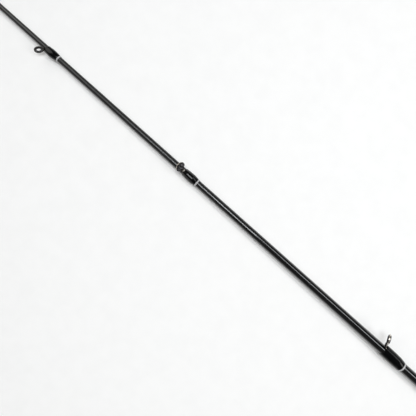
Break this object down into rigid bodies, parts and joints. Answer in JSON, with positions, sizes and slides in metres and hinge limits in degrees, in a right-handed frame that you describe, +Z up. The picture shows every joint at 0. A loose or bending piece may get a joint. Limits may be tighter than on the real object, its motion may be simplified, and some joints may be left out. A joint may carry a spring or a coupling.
{
  "type": "spinning rod",
  "caption": "Take-apart spinning rod with a tapering carbon blank, screw-down reel seat, foam grips, thread-wrapped ring guides that turn round the blank, and a tip-top.",
  "frame": {"origin": "centre of the flat end face of the butt cap, on the rod's axis", "axes": "+X along the rod from the butt to the tip, +Z up with the rod lying on a table, -Y the side that the reel seat's pockets face"},
  "size_m": [1.682, 0.0387, 0.024],
  "materials": {
    "blank": "satin charcoal carbon with fine tape marks",
    "wrap": "black thread under clear gloss epoxy",
    "trim_thread": "bright silver metallic thread",
    "guide_metal": "polished gunmetal",
    "ring_ceramic": "polished dark ceramic",
    "grip_foam": "fine matt foam",
    "cap_rubber": "matt",
    "silver_ring": "turned satin",
    "seat": "moulded satin",
    "hood_metal": "brushed gunmetal",
    "nut": "moulded satin",
    "arbor": "plain"
  },
  "bodies": {
    "butt_section": {"butt_blank": "blank", "butt_cap": "cap_rubber", "rear_grip": "grip_foam", "fore_grip": "grip_foam", "rear_trim_ring": "silver_ring", "fore_trim_ring": "silver_ring", "winding_check": "silver_ring", "reel_seat_body": "seat", "rear_arbor": "arbor", "front_arbor": "arbor", "fixed_hood": "hood_metal", "handle_wrap": "wrap", "handle_trim": "trim_thread", "hook_keeper": "guide_metal", "hook_keeper_rear_wrap": "wrap", "hook_keeper_front_wrap": "wrap", "stripper_guide_frame": "guide_metal", "stripper_guide_ring": "ring_ceramic", "stripper_guide_rear_wrap": "wrap", "stripper_guide_rear_trim": "trim_thread", "stripper_guide_front_wrap": "wrap", "stripper_guide_front_trim": "trim_thread"},
    "tip_section": {"tip_blank": "blank", "ferrule_wrap": "wrap", "ferrule_trim": "trim_thread", "guide_5_frame": "guide_metal", "guide_5_ring": "ring_ceramic", "guide_5_wrap": "wrap", "guide_5_trim": "trim_thread", "guide_4_frame": "guide_metal", "guide_4_ring": "ring_ceramic", "guide_4_wrap": "wrap", "guide_4_trim": "trim_thread", "guide_3_frame": "guide_metal", "guide_3_ring": "ring_ceramic", "guide_3_wrap": "wrap", "guide_3_trim": "trim_thread", "guide_2_frame": "guide_metal", "guide_2_ring": "ring_ceramic", "guide_2_wrap": "wrap", "guide_2_trim": "trim_thread", "guide_1_frame": "guide_metal", "guide_1_ring": "ring_ceramic", "guide_1_wrap": "wrap", "guide_1_trim": "trim_thread", "tip_top_frame": "guide_metal", "tip_top_ring": "ring_ceramic", "tip_top_wrap": "wrap"},
    "sliding_hood": {"sliding_hood": "hood_metal"},
    "lock_nut": {"lock_nut": "nut"}
  },
  "joints": [
    {"name": "tip_pull", "type": "slide", "parent": "butt_section", "child": "tip_section", "axis": [1, 0, 0], "range_m": [0, 0.08]},
    {"name": "hood_slide", "type": "slide", "parent": "butt_section", "child": "sliding_hood", "axis": [1, 0, 0], "range_m": [-0.0075, 0.01]},
    {"name": "nut_spin", "type": "hinge", "parent": "sliding_hood", "child": "lock_nut", "pos_m": [0.2083, 0, 0], "axis": [1, 0, 0], "range_deg": [-1080, 1440]}
  ],
  "couplings": [
    {"joint": "hood_slide", "follows": "nut_spin", "m_per_rad": 0.00039789}
  ]
}
